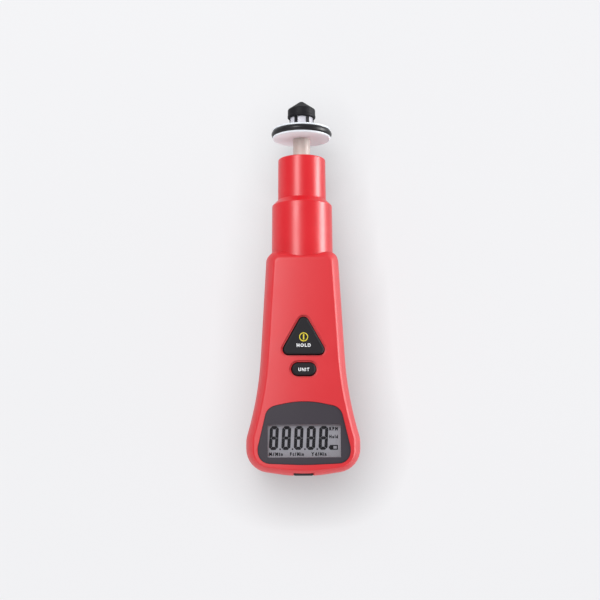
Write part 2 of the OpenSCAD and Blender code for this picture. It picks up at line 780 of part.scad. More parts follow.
front_case();
rear_case();
battery_door();
display_panel();
display_lens();
lcd_glass();
lcd_frame();
zebra_strips();
main_board();
controller_chip();
quartz_crystal();
hold_button();
unit_button();
hold_switch();
hold_plunger();
unit_switch();
unit_plunger();
battery();
battery_snap();
battery_leads();
case_screws();
board_screws();
strap_post();
sensor_nozzle();
sensor_window();
optics_holder();
laser_module();
receiver_lens();
photo_sensor();
sensor_board();
sensor_ribbon();
adapter_barrel();
front_bush();
rear_bush();
spindle();
retaining_clip();
code_disc();
reflector_patch();
surface_wheel();
wheel_tyre();
tip_hub();
cone_tip();
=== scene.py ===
"""Finish of a handheld tachometer: plastics, rubber, display, printed marks and the studio round it."""

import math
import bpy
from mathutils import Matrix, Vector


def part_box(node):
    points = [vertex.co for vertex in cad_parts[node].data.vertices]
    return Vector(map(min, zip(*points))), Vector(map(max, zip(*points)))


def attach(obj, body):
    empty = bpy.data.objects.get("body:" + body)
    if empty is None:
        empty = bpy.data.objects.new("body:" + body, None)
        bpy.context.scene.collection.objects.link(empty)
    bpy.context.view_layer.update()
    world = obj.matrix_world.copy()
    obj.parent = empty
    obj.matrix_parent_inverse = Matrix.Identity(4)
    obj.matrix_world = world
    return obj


bl_info = {
    "name": "Handheld Tachometer Finish",
    "version": (1, 0, 0),
    "blender": (4, 5, 0),
    "location": "View3D > Sidebar > Tachometer",
    "description": "Dresses the packed tachometer and sets up its studio",
    "category": "Object",
}

import bmesh
import bpy
from bpy.props import FloatProperty, FloatVectorProperty, PointerProperty, StringProperty
from mathutils import Euler, Matrix, Vector

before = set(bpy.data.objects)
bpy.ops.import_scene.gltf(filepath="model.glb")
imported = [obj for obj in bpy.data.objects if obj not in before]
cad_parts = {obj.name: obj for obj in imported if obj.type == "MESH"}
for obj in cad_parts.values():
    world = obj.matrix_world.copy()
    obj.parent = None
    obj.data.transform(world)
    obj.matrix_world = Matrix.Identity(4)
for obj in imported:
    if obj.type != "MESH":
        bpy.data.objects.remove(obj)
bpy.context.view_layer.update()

MM = 0.001
HOUSING = "housing"
# Half the curvature of the slightly crowned faces, in 1/m
CROWN = 3.0
# Height of a full bump
BUMP = 0.05 * MM
# Corners of the frame's faces that lie closer than this are one
SEAM = 0.002 * MM
# Faces that differ by less are one flat, and a flat with this many corners is split before its edges soften
FLAT_ANGLE = math.radians(0.05)
LARGE_FLAT = 40
# Edges sharper than these are softened, and stay sharp in the shading
SOFT_ANGLE = math.radians(35)
SHARP_ANGLE = math.radians(32)
# Height of the built-in font's capitals, as a share of its size
CAP_SHARE = 0.7
# Space between printed letters, as a share of their height
LETTER_GAP = 0.27
# Segments that make each figure, lettered clockwise from the top, with the middle one last
FIGURES = {"8": "abcdefg", "0": "abcdef", "1": "bc", "2": "abged", "3": "abgcd", "4": "fgbc", "5": "afgcd",
           "6": "afgedc", "7": "abc", "9": "abcdfg"}

# Places taken from the frame
LENS_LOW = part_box("display_lens")[0]
GLASS_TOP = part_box("lcd_glass")[1][2]
HOLD_LOW, HOLD_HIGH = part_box("hold_button")
UNIT_LOW, UNIT_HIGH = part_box("unit_button")


def from_srgb(r, g, b):
    """Linear colour from display values of 0 to 255."""
    def channel(value):
        c = value / 255
        return c / 12.92 if c <= 0.04045 else ((c + 0.055) / 1.055) ** 2.4
    return (channel(r), channel(g), channel(b))


def colour(name, description, rgb):
    """A colour that a user can change, given as display values."""
    return FloatVectorProperty(name=name, description=description, subtype="COLOR", size=3, min=0, max=1,
                               default=from_srgb(*rgb))


def length(name, description, millimetres):
    """A length that a user can change."""
    return FloatProperty(name=name, description=description, subtype="DISTANCE", unit="LENGTH", min=0,
                         precision=5, default=millimetres * MM)


class TachometerColours(bpy.types.PropertyGroup):
    """Colours of the visible pieces"""
    case: colour("Case", "Moulded case and adapter barrel", (218, 20, 33))
    key: colour("Keys", "Rubber of both keys", (29, 27, 31))
    panel: colour("Panel", "Display surround", (57, 51, 59))
    lcd: colour("Display", "Unlit display film", (168, 166, 174))
    ink: colour("Segments", "Display segments", (24, 23, 28))
    white_mark: colour("White marks", "Words printed on the keys", (244, 244, 246))
    power_mark: colour("Power mark", "Power sign on the triangular key", (232, 210, 40))
    wheel: colour("Wheel", "Surface wheel", (236, 240, 246))
    hub: colour("Hub", "Slotted hub of the tip", (208, 206, 214))
    spindle: colour("Spindle", "Spindle outside the barrel", (205, 195, 187))
    rubber: colour("Tip rubber", "Cone and tyre", (25, 24, 28))


class TachometerMarks(bpy.types.PropertyGroup):
    """Sizes of the printed marks and display segments"""
    digit_width: length("Digit width", "Width of one display digit", 4.5)
    digit_height: length("Digit height", "Height of one display digit", 11.8)
    digit_pitch: length("Digit pitch", "Distance between neighbouring digits", 6.17)
    stroke: length("Segment width", "Width of one display segment", 1.6)
    word_height: length("Key word height", "Capital height of the words on the keys", 1.6)
    label_height: length("Label height", "Capital height of the words in the display", 1.5)
    power_ring: length("Power sign", "Diameter of the power sign", 4.5)
    display_text: StringProperty(name="Reading", description="What the display shows", default="88888")


class TachometerStudio(bpy.types.PropertyGroup):
    """Camera and light"""
    tilt: FloatProperty(name="Tilt", description="Camera lean from straight above, towards the tail",
                        subtype="ANGLE", default=math.radians(8.5))
    lean: FloatProperty(name="Lean", description="Camera lean from straight above, towards the left side",
                        subtype="ANGLE", default=math.radians(1.3))
    roll: FloatProperty(name="Roll", description="Camera turn about its view", subtype="ANGLE",
                        default=math.radians(-0.3))
    distance: length("Camera distance", "Camera to the barrel axis", 650)
    lens: FloatProperty(name="Lens", description="Focal length", subtype="DISTANCE_CAMERA", default=75.3)
    key_power: FloatProperty(name="Key light", description="Power of the overhead light", subtype="POWER",
                             default=6.3)
    strip_power: FloatProperty(name="Key card", description="Power of the bright card above",
                               subtype="POWER", default=7.2)
    side_power: FloatProperty(name="Side light", description="Power of the box at the right", subtype="POWER",
                              default=2.6)
    card_power: FloatProperty(name="Side card", description="Power of the bright card at the right",
                              subtype="POWER", default=9)
    fill_power: FloatProperty(name="Fill light", description="Power of the box at the tail", subtype="POWER",
                              default=3.4)
    ambient: FloatProperty(name="Ambient", description="Strength of the surroundings", default=0.42)
    floor: colour("Floor", "Table top", (242, 242, 244))


SETTINGS = {
    "tachometer_colours": TachometerColours,
    "tachometer_marks": TachometerMarks,
    "tachometer_studio": TachometerStudio,
}


# Shader building

def add_node(tree, kind, place=(0, 0), **values):
    """New node with properties, and input values by socket name."""
    node = tree.nodes.new(kind)
    node.location = place
    for name, value in values.items():
        if name in node.inputs:
            node.inputs[name].default_value = value
        else:
            setattr(node, name, value)
    return node


def calculate(tree, operation, *terms):
    """Output of a new math node whose terms are sockets or numbers."""
    node = add_node(tree, "ShaderNodeMath", operation=operation)
    for socket, term in zip(node.inputs, terms):
        if isinstance(term, bpy.types.NodeSocket):
            tree.links.new(term, socket)
        else:
            socket.default_value = term
    return node.outputs[0]


def ranged(tree, value, source, target, **settings):
    """Output of a new node that carries a socket's value from one range to another."""
    node = add_node(tree, "ShaderNodeMapRange", **settings)
    for label, limit in zip(("From Min", "From Max", "To Min", "To Max"), (*source, *target)):
        node.inputs[label].default_value = limit
    tree.links.new(value, node.inputs["Value"])
    return node.outputs["Result"]


def tinted(tree, rgb, amount):
    """Output of a new node that scales a colour socket by another."""
    node = add_node(tree, "ShaderNodeVectorMath", operation="SCALE")
    tree.links.new(rgb, node.inputs[0])
    tree.links.new(amount, node.inputs["Scale"])
    return node.outputs["Vector"]


def new_group(name, inputs, outputs):
    """Empty shader node group with float and colour sockets, and its two ends."""
    group = bpy.data.node_groups.new(name, "ShaderNodeTree")
    for label, kind, value in inputs:
        socket = group.interface.new_socket(label, in_out="INPUT", socket_type=kind)
        socket.default_value = value
    for label, kind in outputs:
        group.interface.new_socket(label, in_out="OUTPUT", socket_type=kind)
    return group, group.nodes.new("NodeGroupInput"), group.nodes.new("NodeGroupOutput")


def moulded_grain():
    """Skin of moulded plastic or rubber: fine grain, mottled colour and uneven gloss.

    Crown bends the faces across x in the shading. Side gloss makes faces that aren't level
    smoother than the level ones, or duller where it is negative.
    """
    name = "Moulded grain"
    if name in bpy.data.node_groups:
        return bpy.data.node_groups[name]
    group, start, end = new_group(
        name,
        [("Colour", "NodeSocketColor", (0.5, 0.5, 0.5, 1)), ("Roughness", "NodeSocketFloat", 0.4),
         ("Grain", "NodeSocketFloat", 2500), ("Depth", "NodeSocketFloat", 0.01 * MM),
         ("Mottle", "NodeSocketFloat", 0.05), ("Crown", "NodeSocketFloat", 0),
         ("Side gloss", "NodeSocketFloat", 0)],
        [("Colour", "NodeSocketColor"), ("Roughness", "NodeSocketFloat"), ("Height", "NodeSocketFloat")])
    link = group.links.new
    given = start.outputs
    place = add_node(group, "ShaderNodeTexCoord")
    grain = add_node(group, "ShaderNodeTexNoise", Detail=3, Roughness=0.55)
    cloud = add_node(group, "ShaderNodeTexNoise", Scale=70, Detail=3, Roughness=0.6)
    across = add_node(group, "ShaderNodeSeparateXYZ")
    for node in (grain, cloud, across):
        link(place.outputs["Object"], node.inputs["Vector"])
    link(given["Grain"], grain.inputs["Scale"])
    x = across.outputs["X"]
    fall = calculate(group, "MULTIPLY", calculate(group, "MULTIPLY", x, x), given["Crown"])
    relief = calculate(group, "MULTIPLY", grain.outputs["Fac"], given["Depth"])
    link(calculate(group, "SUBTRACT", relief, fall), end.inputs["Height"])
    uneven = ranged(group, cloud.outputs["Fac"], (0, 1), (-0.07, 0.07))
    gloss = calculate(group, "ADD", given["Roughness"], uneven)
    facing = add_node(group, "ShaderNodeSeparateXYZ")
    link(place.outputs["Normal"], facing.inputs["Vector"])
    level = calculate(group, "ABSOLUTE", facing.outputs["Z"])
    upright = ranged(group, level, (0.999, 0.97), (0, 1), interpolation_type="SMOOTHSTEP")
    ease = calculate(group, "MULTIPLY", upright, given["Side gloss"])
    link(calculate(group, "SUBTRACT", gloss, ease), end.inputs["Roughness"])
    centred = calculate(group, "SUBTRACT", cloud.outputs["Fac"], 0.5)
    amount = calculate(group, "MULTIPLY_ADD", centred, given["Mottle"], 1)
    link(tinted(group, given["Colour"], amount), end.inputs["Colour"])
    return group


def turned_marks():
    """Fine tool marks of turned or rolled metal: rings about the barrel axis and uneven gloss."""
    name = "Turned marks"
    if name in bpy.data.node_groups:
        return bpy.data.node_groups[name]
    group, start, end = new_group(
        name,
        [("Colour", "NodeSocketColor", (0.6, 0.6, 0.6, 1)), ("Roughness", "NodeSocketFloat", 0.3),
         ("Fineness", "NodeSocketFloat", 3000), ("Depth", "NodeSocketFloat", 0.006 * MM)],
        [("Colour", "NodeSocketColor"), ("Roughness", "NodeSocketFloat"), ("Height", "NodeSocketFloat")])
    link = group.links.new
    given = start.outputs
    place = add_node(group, "ShaderNodeTexCoord")
    squeeze = add_node(group, "ShaderNodeVectorMath", operation="MULTIPLY")
    squeeze.inputs[1].default_value = (0.02, 1, 0.02)
    link(place.outputs["Object"], squeeze.inputs[0])
    noise = add_node(group, "ShaderNodeTexNoise", Detail=2, Roughness=0.5)
    link(squeeze.outputs["Vector"], noise.inputs["Vector"])
    link(given["Fineness"], noise.inputs["Scale"])
    marks = noise.outputs["Fac"]
    link(calculate(group, "MULTIPLY", marks, given["Depth"]), end.inputs["Height"])
    link(calculate(group, "MULTIPLY_ADD", marks, 0.18, given["Roughness"]), end.inputs["Roughness"])
    shade = ranged(group, marks, (0, 1), (0.85, 1.1))
    link(tinted(group, given["Colour"], shade), end.inputs["Colour"])
    return group


def surfaced(name, group, rgb, values, shader):
    """Material whose colour, gloss and relief come from a shared group, with constants set on its shader."""
    if name in bpy.data.materials:
        return bpy.data.materials[name]
    material = bpy.data.materials.new(name)
    material.use_nodes = True
    tree = material.node_tree
    bsdf = tree.nodes["Principled BSDF"]
    skin = add_node(tree, "ShaderNodeGroup", (-500, 0))
    skin.node_tree = group
    skin.inputs["Colour"].default_value = (*rgb, 1)
    for label, value in values.items():
        skin.inputs[label].default_value = value
    relief = add_node(tree, "ShaderNodeBump", (-250, -250), Strength=1, Distance=1)
    tree.links.new(skin.outputs["Colour"], bsdf.inputs["Base Color"])
    tree.links.new(skin.outputs["Roughness"], bsdf.inputs["Roughness"])
    tree.links.new(skin.outputs["Height"], relief.inputs["Height"])
    tree.links.new(relief.outputs["Normal"], bsdf.inputs["Normal"])
    for label, value in shader.items():
        bsdf.inputs[label].default_value = value
    return material


def moulded(name, rgb, roughness, grain=2500, mottle=0.05, bump=0.25, crown=0, side_gloss=0, specular=0.5,
            **shader):
    """Moulded plastic or rubber."""
    values = {"Roughness": roughness, "Grain": grain, "Mottle": mottle, "Depth": bump * BUMP, "Crown": crown,
              "Side gloss": side_gloss}
    return surfaced(name, moulded_grain(), rgb, values, {"Specular IOR Level": specular, **shader})


def machined(name, rgb, roughness, fineness=3000, bump=0.15):
    """Turned or rolled metal."""
    values = {"Roughness": roughness, "Fineness": fineness, "Depth": bump * BUMP}
    return surfaced(name, turned_marks(), rgb, values, {"Metallic": 1})


def black_moulding():
    """Plain black plastic."""
    return moulded("black_moulding", from_srgb(38, 38, 42), 0.45)


def plated_steel():
    """Steel of the fasteners and small metal pieces."""
    return machined("plated_steel", (0.62, 0.62, 0.64), 0.28)


def turned_brass():
    """Brass of the bushes and the laser module."""
    return machined("turned_brass", (0.62, 0.44, 0.2), 0.26)


def clear_pane():
    """Thin clear plastic, mostly see-through with a faint gloss."""
    return moulded("clear_pane", (0.03, 0.03, 0.035), 0.15, mottle=0.02, bump=0.02, Alpha=0.06)


# Mesh building

def smooth_by_angle():
    """Modifier group that shades a mesh smooth and keeps its sharp edges."""
    name = "Smooth by angle"
    if name in bpy.data.node_groups:
        return bpy.data.node_groups[name]
    group = bpy.data.node_groups.new(name, "GeometryNodeTree")
    group.interface.new_socket("Geometry", in_out="INPUT", socket_type="NodeSocketGeometry")
    group.interface.new_socket("Geometry", in_out="OUTPUT", socket_type="NodeSocketGeometry")
    start = group.nodes.new("NodeGroupInput")
    end = group.nodes.new("NodeGroupOutput")
    smooth = add_node(group, "GeometryNodeSetShadeSmooth", domain="FACE")
    smooth.inputs["Shade Smooth"].default_value = True
    sharp = add_node(group, "GeometryNodeSetShadeSmooth", domain="EDGE")
    sharp.inputs["Shade Smooth"].default_value = False
    angle = group.nodes.new("GeometryNodeInputMeshEdgeAngle")
    over = add_node(group, "FunctionNodeCompare", data_type="FLOAT", operation="GREATER_THAN")
    over.inputs["B"].default_value = SHARP_ANGLE
    link = group.links.new
    link(angle.outputs["Unsigned Angle"], over.inputs["A"])
    link(start.outputs[0], smooth.inputs["Geometry"])
    link(smooth.outputs["Geometry"], sharp.inputs["Geometry"])
    link(over.outputs["Result"], sharp.inputs["Selection"])
    link(sharp.outputs["Geometry"], end.inputs[0])
    return group


def dress(node, material, edge=0.0, segments=2, clamp=True):
    """Gives a CAD node its material, softened edges and smooth shading, without touching its mesh.

    Clamped edges all shrink where two of them would meet, so large pieces with fine detail aren't clamped.
    """
    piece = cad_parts[node]
    piece.data.materials.clear()
    piece.data.materials.append(material)
    weld = piece.modifiers.new("Joined seams", "WELD")
    weld.merge_threshold = SEAM
    if edge:
        flat = piece.modifiers.new("Joined flats", "DECIMATE")
        flat.decimate_type = "DISSOLVE"
        flat.angle_limit = FLAT_ANGLE
        split = piece.modifiers.new("Split large flats", "TRIANGULATE")
        split.min_vertices = LARGE_FLAT
        bevel = piece.modifiers.new("Softened edges", "BEVEL")
        bevel.width = edge
        bevel.segments = segments
        bevel.limit_method = "ANGLE"
        bevel.angle_limit = SOFT_ANGLE
        bevel.use_clamp_overlap = clamp
    shade = piece.modifiers.new("Smooth shading", "NODES")
    shade.node_group = smooth_by_angle()
    even = piece.modifiers.new("Even shading", "WEIGHTED_NORMAL")
    even.keep_sharp = True


def mesh_piece(name, build, material, body):
    """New piece from a function that fills a bmesh, riding on a body."""
    work = bmesh.new()
    build(work)
    mesh = bpy.data.meshes.new(name)
    work.to_mesh(mesh)
    work.free()
    piece = bpy.data.objects.new(name, mesh)
    bpy.context.scene.collection.objects.link(piece)
    mesh.materials.append(material)
    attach(piece, body)


def rectangle(x0, y0, x1, y1):
    """Corners of an upright rectangle."""
    return [(x0, y0), (x1, y0), (x1, y1), (x0, y1)]


def raise_outline(work, points, low, high):
    """Thin prism over a closed outline."""
    bottom = [work.verts.new((x, y, low)) for x, y in points]
    top = [work.verts.new((x, y, high)) for x, y in points]
    work.faces.new(list(reversed(bottom)))
    work.faces.new(top)
    for i, here in enumerate(bottom):
        after = (i + 1) % len(bottom)
        work.faces.new((here, bottom[after], top[after], top[i]))


def raise_ring(work, centre, outer, inner, low, high, steps=48):
    """Thin flat ring."""
    loops = []
    for radius, z in ((outer, low), (outer, high), (inner, high), (inner, low)):
        loops.append([work.verts.new((centre[0] + radius * math.cos(2 * math.pi * k / steps),
                                      centre[1] + radius * math.sin(2 * math.pi * k / steps), z))
                      for k in range(steps)])
    for i, loop in enumerate(loops):
        above = loops[(i + 1) % len(loops)]
        for k in range(steps):
            after = (k + 1) % steps
            work.faces.new((loop[k], loop[after], above[after], above[k]))


def letter_mesh(character, cap_height, bold):
    """Flat mesh of one built-in letter that stands on y = 0, with its left edge at x = 0, and its width."""
    curve = bpy.data.curves.new("letter", "FONT")
    curve.body = character
    curve.size = cap_height / CAP_SHARE
    curve.offset = bold
    curve.resolution_u = 3
    carrier = bpy.data.objects.new("letter", curve)
    bpy.context.scene.collection.objects.link(carrier)
    flat = bpy.data.meshes.new_from_object(carrier.evaluated_get(bpy.context.evaluated_depsgraph_get()))
    bpy.data.objects.remove(carrier)
    bpy.data.curves.remove(curve)
    xs = [v.co.x for v in flat.vertices]
    flat.transform(Matrix.Translation((-min(xs), 0, 0)))
    return flat, max(xs) - min(xs)


def add_mesh(work, mesh):
    """Adds a finished mesh to a bmesh and discards it."""
    work.from_mesh(mesh)
    bpy.data.meshes.remove(mesh)


def add_word(work, text, cap_height, width, centre, low, high, bold):
    """Adds a printed word of evenly spaced letters, fitted to a width and centred on a point."""
    word = bmesh.new()
    edge = 0
    for character in text:
        flat, wide = letter_mesh(character, cap_height, bold)
        flat.transform(Matrix.Translation((edge, 0, 0)))
        add_mesh(word, flat)
        edge += wide + cap_height * LETTER_GAP
    edge -= cap_height * LETTER_GAP
    bmesh.ops.remove_doubles(word, verts=word.verts, dist=1e-7)
    for v in word.verts:
        v.co = Vector(((v.co.x / edge - 0.5) * width + centre[0], v.co.y - cap_height / 2 + centre[1], low))
    raised = bmesh.ops.extrude_face_region(word, geom=list(word.faces))
    for item in raised["geom"]:
        if isinstance(item, bmesh.types.BMVert):
            item.co.z = high
    bmesh.ops.recalc_face_normals(word, faces=list(word.faces))
    solid = bpy.data.meshes.new("word_solid")
    word.to_mesh(solid)
    word.free()
    add_mesh(work, solid)


# Operators, one for each group of pieces

class TACHOMETER_OT_case(bpy.types.Operator):
    """Finish the moulded case, its door, its fasteners and the adapter barrel"""
    bl_idname = "tachometer.case"
    bl_label = "Case and Barrel"

    def execute(self, context):
        tint = context.scene.tachometer_colours.case
        red = moulded("red_case_plastic", tint, 0.43, grain=3200, mottle=0.05, bump=0.12, crown=CROWN,
                      side_gloss=-0.1, IOR=1.6)
        smooth_red = moulded("red_barrel_plastic", tint, 0.33, grain=3200, mottle=0.05, bump=0.06, IOR=1.5)
        for node in ("front_case", "rear_case", "battery_door"):
            dress(node, red, edge=0.06 * MM, clamp=False)
        dress("adapter_barrel", smooth_red, edge=0.2 * MM, segments=3, clamp=False)
        dress("case_screws", plated_steel(), edge=0.1 * MM)
        dress("strap_post", black_moulding())
        return {"FINISHED"}


class TACHOMETER_OT_display(bpy.types.Operator):
    """Finish the display surround, its pane and the display, and set the segments of the reading"""
    bl_idname = "tachometer.display"
    bl_label = "Display"

    # Where the digits lie in the window, from its lower left corner
    window_rim = 0.5 * MM
    first_digit = 1 * MM
    digit_base = 3.75 * MM
    # Lean of the digits, the gap between segments, and the outer corners' cut as a share of a segment's width
    slant = 0.05
    segment_gap = 0.06 * MM
    corner_cut = 0.75
    # Side of a decimal point, and its distance from the digit
    point_side = 0.75 * MM
    point_gap = 0.45 * MM
    # Height of the print above the glass, and the weight of its words
    ink_thick = 0.03 * MM
    label_bold = 0.15 * MM
    # Words with their widths and the places of their middles in the window, in mm
    labels = (("RPM", 4.3, 33, 14.2), ("Hold", 4.3, 33, 10.3), ("M/Min", 6.9, 4.2, 1.7),
              ("Ft/Min", 6.9, 14.65, 1.7), ("Yd/Min", 7.6, 25.6, 1.7))
    # Battery sign: lower left corner in the window, size, width of its rim and reach of its terminal
    cell_corner = (31.1 * MM, 3.75 * MM)
    cell_size = (4 * MM, 2.4 * MM)
    cell_rim = 0.55 * MM
    cell_tip = 0.5 * MM

    def execute(self, context):
        colours = context.scene.tachometer_colours
        marks = context.scene.tachometer_marks
        surround = moulded("panel_plastic", colours.panel, 0.55, grain=3500, bump=0.3, crown=CROWN,
                           specular=0.3)
        film = moulded("display_film", colours.lcd, 0.35, grain=6000, mottle=0.06, bump=0.05)
        ink = moulded("display_ink", colours.ink, 0.6, grain=6000, mottle=0.03, bump=0.03, specular=0.2)
        dress("display_panel", surround, edge=0.12 * MM)
        dress("display_lens", clear_pane())
        dress("lcd_glass", film)
        mesh_piece("display_digits", lambda work: self.digits(work, marks), ink, HOUSING)
        mesh_piece("display_units", lambda work: self.units(work, marks), ink, HOUSING)
        return {"FINISHED"}

    def corner(self):
        """Lower left corner of the window."""
        return LENS_LOW[0] + self.window_rim, LENS_LOW[1] + self.window_rim

    def layer(self):
        """Lower and upper height of the print."""
        return GLASS_TOP + self.ink_thick / 3, GLASS_TOP + self.ink_thick

    def segments(self, marks):
        """Outlines of a digit's seven segments by letter."""
        wide, half, thick = marks.digit_width, marks.digit_height / 2, marks.stroke
        gap = self.segment_gap
        cut = thick * self.corner_cut

        def level(flip):
            """Top segment, or the bottom one when flipped."""
            side = [(cut / 2 + gap, half - cut / 2), (cut + gap, half)]
            other = [(wide - x, y) for x, y in reversed(side)]
            inner = [(wide - thick - gap, half - thick), (thick + gap, half - thick)]
            return [(x, half + flip * y) for x, y in side + other + inner]

        def upright(mirror, flip):
            """Upper left segment, or the one mirrored or flipped from it."""
            outline = [(0, gap), (0, half - cut - gap), (cut / 2, half - cut / 2 - gap),
                       (thick, half - thick - gap), (thick, thick / 2 + gap), (thick / 2, gap)]
            return [(wide - x if mirror else x, half + flip * y) for x, y in outline]

        left, right = thick + gap, wide - thick - gap
        middle = [(left - thick / 2, half), (left, half + thick / 2), (right, half + thick / 2),
                  (right + thick / 2, half), (right, half - thick / 2), (left, half - thick / 2)]
        return {"a": level(1), "d": level(-1), "g": middle, "f": upright(False, 1), "b": upright(True, 1),
                "e": upright(False, -1), "c": upright(True, -1)}

    def digits(self, work, marks):
        """Seven segment digits with a point after each but the last."""
        left, base = self.corner()
        low, high = self.layer()
        shapes = self.segments(marks)
        half = marks.digit_height / 2
        y0 = base + self.digit_base
        for place, character in enumerate(marks.display_text):
            x0 = left + self.first_digit + place * marks.digit_pitch
            for segment in FIGURES[character]:
                points = [(x0 + x + self.slant * (y - half), y0 + y) for x, y in shapes[segment]]
                raise_outline(work, points, low, high)
            if place < len(marks.display_text) - 1:
                x = x0 + marks.digit_width + self.point_gap
                raise_outline(work, rectangle(x, y0, x + self.point_side, y0 + self.point_side), low, high)
        bmesh.ops.recalc_face_normals(work, faces=list(work.faces))

    def units(self, work, marks):
        """Generic unit marks at the right and along the foot, and a battery sign."""
        left, base = self.corner()
        low, high = self.layer()
        for text, width, x, y in self.labels:
            centre = (left + x * MM, base + y * MM)
            add_word(work, text, marks.label_height, width * MM, centre, low, high, self.label_bold)
        x, y = left + self.cell_corner[0], base + self.cell_corner[1]
        wide, tall = self.cell_size
        rim = self.cell_rim
        bars = ((0, 0, wide, rim), (0, tall - rim, wide, tall), (0, rim, wide * 0.45, tall - rim),
                (wide - rim, rim, wide, tall - rim), (-self.cell_tip, tall * 0.25, 0, tall * 0.75))
        for x0, y0, x1, y1 in bars:
            raise_outline(work, rectangle(x + x0, y + y0, x + x1, y + y1), low, high)
        bmesh.ops.recalc_face_normals(work, faces=list(work.faces))


class TACHOMETER_OT_keys(bpy.types.Operator):
    """Finish the two rubber keys and print their marks"""
    bl_idname = "tachometer.keys"
    bl_label = "Keys"

    # Heights of the marks above the base of the triangular key, and the width of the flange under its edge
    power_rise = 8.65 * MM
    word_rise = 4.5 * MM
    flange_rim = 1 * MM
    # Widths of the words, and how far the lower one lies below the middle of its key
    hold_width = 7.1 * MM
    unit_width = 5.5 * MM
    unit_drop = 0.3 * MM
    # Height of the print above the keys, and the weight of its words
    print_thick = 0.04 * MM
    word_bold = 0.1 * MM
    # Inner edge of the power sign's ring, and half its bar's width and height, as shares of its radius
    ring_inner = 0.8
    bar_wide = 0.15
    bar_tall = 0.6

    def execute(self, context):
        colours = context.scene.tachometer_colours
        marks = context.scene.tachometer_marks
        rubber = moulded("key_rubber", colours.key, 0.55, grain=3000, mottle=0.08, bump=0.3, specular=0.2)
        white = moulded("white_print", colours.white_mark, 0.5, mottle=0.03, bump=0.05)
        yellow = moulded("yellow_print", colours.power_mark, 0.5, mottle=0.03, bump=0.05)
        for node in ("hold_button", "unit_button"):
            dress(node, rubber, edge=0.08 * MM)
        for node in ("hold_switch", "hold_plunger", "unit_switch", "unit_plunger"):
            dress(node, black_moulding(), edge=0.1 * MM)
        base = HOLD_LOW[1] + self.flange_rim
        middle = (HOLD_LOW[0] + HOLD_HIGH[0]) / 2
        power_at = (middle, base + self.power_rise)
        hold_at = (middle, base + self.word_rise)
        unit_at = ((UNIT_LOW[0] + UNIT_HIGH[0]) / 2, (UNIT_LOW[1] + UNIT_HIGH[1]) / 2 - self.unit_drop)

        def power_sign(work):
            self.power(work, power_at, marks)

        def hold_word(work):
            self.word(work, "HOLD", self.hold_width, hold_at, HOLD_HIGH[2], marks)

        def unit_word(work):
            self.word(work, "UNIT", self.unit_width, unit_at, UNIT_HIGH[2], marks)

        mesh_piece("power_sign", power_sign, yellow, "hold_key")
        mesh_piece("hold_word", hold_word, white, "hold_key")
        mesh_piece("unit_word", unit_word, white, "unit_key")
        return {"FINISHED"}

    def layer(self, top):
        """Lower and upper height of the print on a key."""
        return top - self.print_thick, top + self.print_thick

    def power(self, work, centre, marks):
        """Ring with an upright bar."""
        low, high = self.layer(HOLD_HIGH[2])
        radius = marks.power_ring / 2
        raise_ring(work, centre, radius, radius * self.ring_inner, low, high)
        x, y = centre
        wide, tall = radius * self.bar_wide, radius * self.bar_tall
        raise_outline(work, rectangle(x - wide, y - tall, x + wide, y + tall), low, high)
        bmesh.ops.recalc_face_normals(work, faces=list(work.faces))

    def word(self, work, text, width, centre, top, marks):
        """Printed word on a key's top."""
        low, high = self.layer(top)
        add_word(work, text, marks.word_height, width, centre, low, high, self.word_bold)


class TACHOMETER_OT_rotor(bpy.types.Operator):
    """Finish the spindle, wheel, tyre, hub, cone and what turns with them, and the bushes"""
    bl_idname = "tachometer.rotor"
    bl_label = "Rotor"

    def execute(self, context):
        colours = context.scene.tachometer_colours
        soft = {"Subsurface Weight": 0.12, "Subsurface Radius": (0.6 * MM, 0.6 * MM, 0.6 * MM)}
        white = moulded("white_wheel_plastic", colours.wheel, 0.42, mottle=0.03, bump=0.12, **soft)
        grey_white = moulded("white_hub_plastic", colours.hub, 0.45, mottle=0.03, bump=0.12, **soft)
        ivory = moulded("spindle_acetal", colours.spindle, 0.46, mottle=0.05, bump=0.12, **soft)
        rubber = moulded("cone_rubber", colours.rubber, 0.55, grain=2200, mottle=0.12, bump=0.3,
                         specular=0.15)
        tyre = moulded("tyre_rubber", colours.rubber, 0.34, grain=2500, mottle=0.1, bump=0.25, specular=0.28)
        foil = machined("reflecting_foil", (0.85, 0.85, 0.87), 0.12, bump=0.05)
        dress("surface_wheel", white, edge=0.12 * MM)
        dress("tip_hub", grey_white, edge=0.12 * MM)
        dress("spindle", ivory, edge=0.15 * MM)
        dress("wheel_tyre", tyre)
        dress("cone_tip", rubber, edge=0.2 * MM, segments=3)
        dress("code_disc", black_moulding(), edge=0.1 * MM)
        dress("reflector_patch", foil)
        dress("retaining_clip", plated_steel(), edge=0.06 * MM)
        for node in ("front_bush", "rear_bush"):
            dress(node, turned_brass(), edge=0.12 * MM)
        return {"FINISHED"}


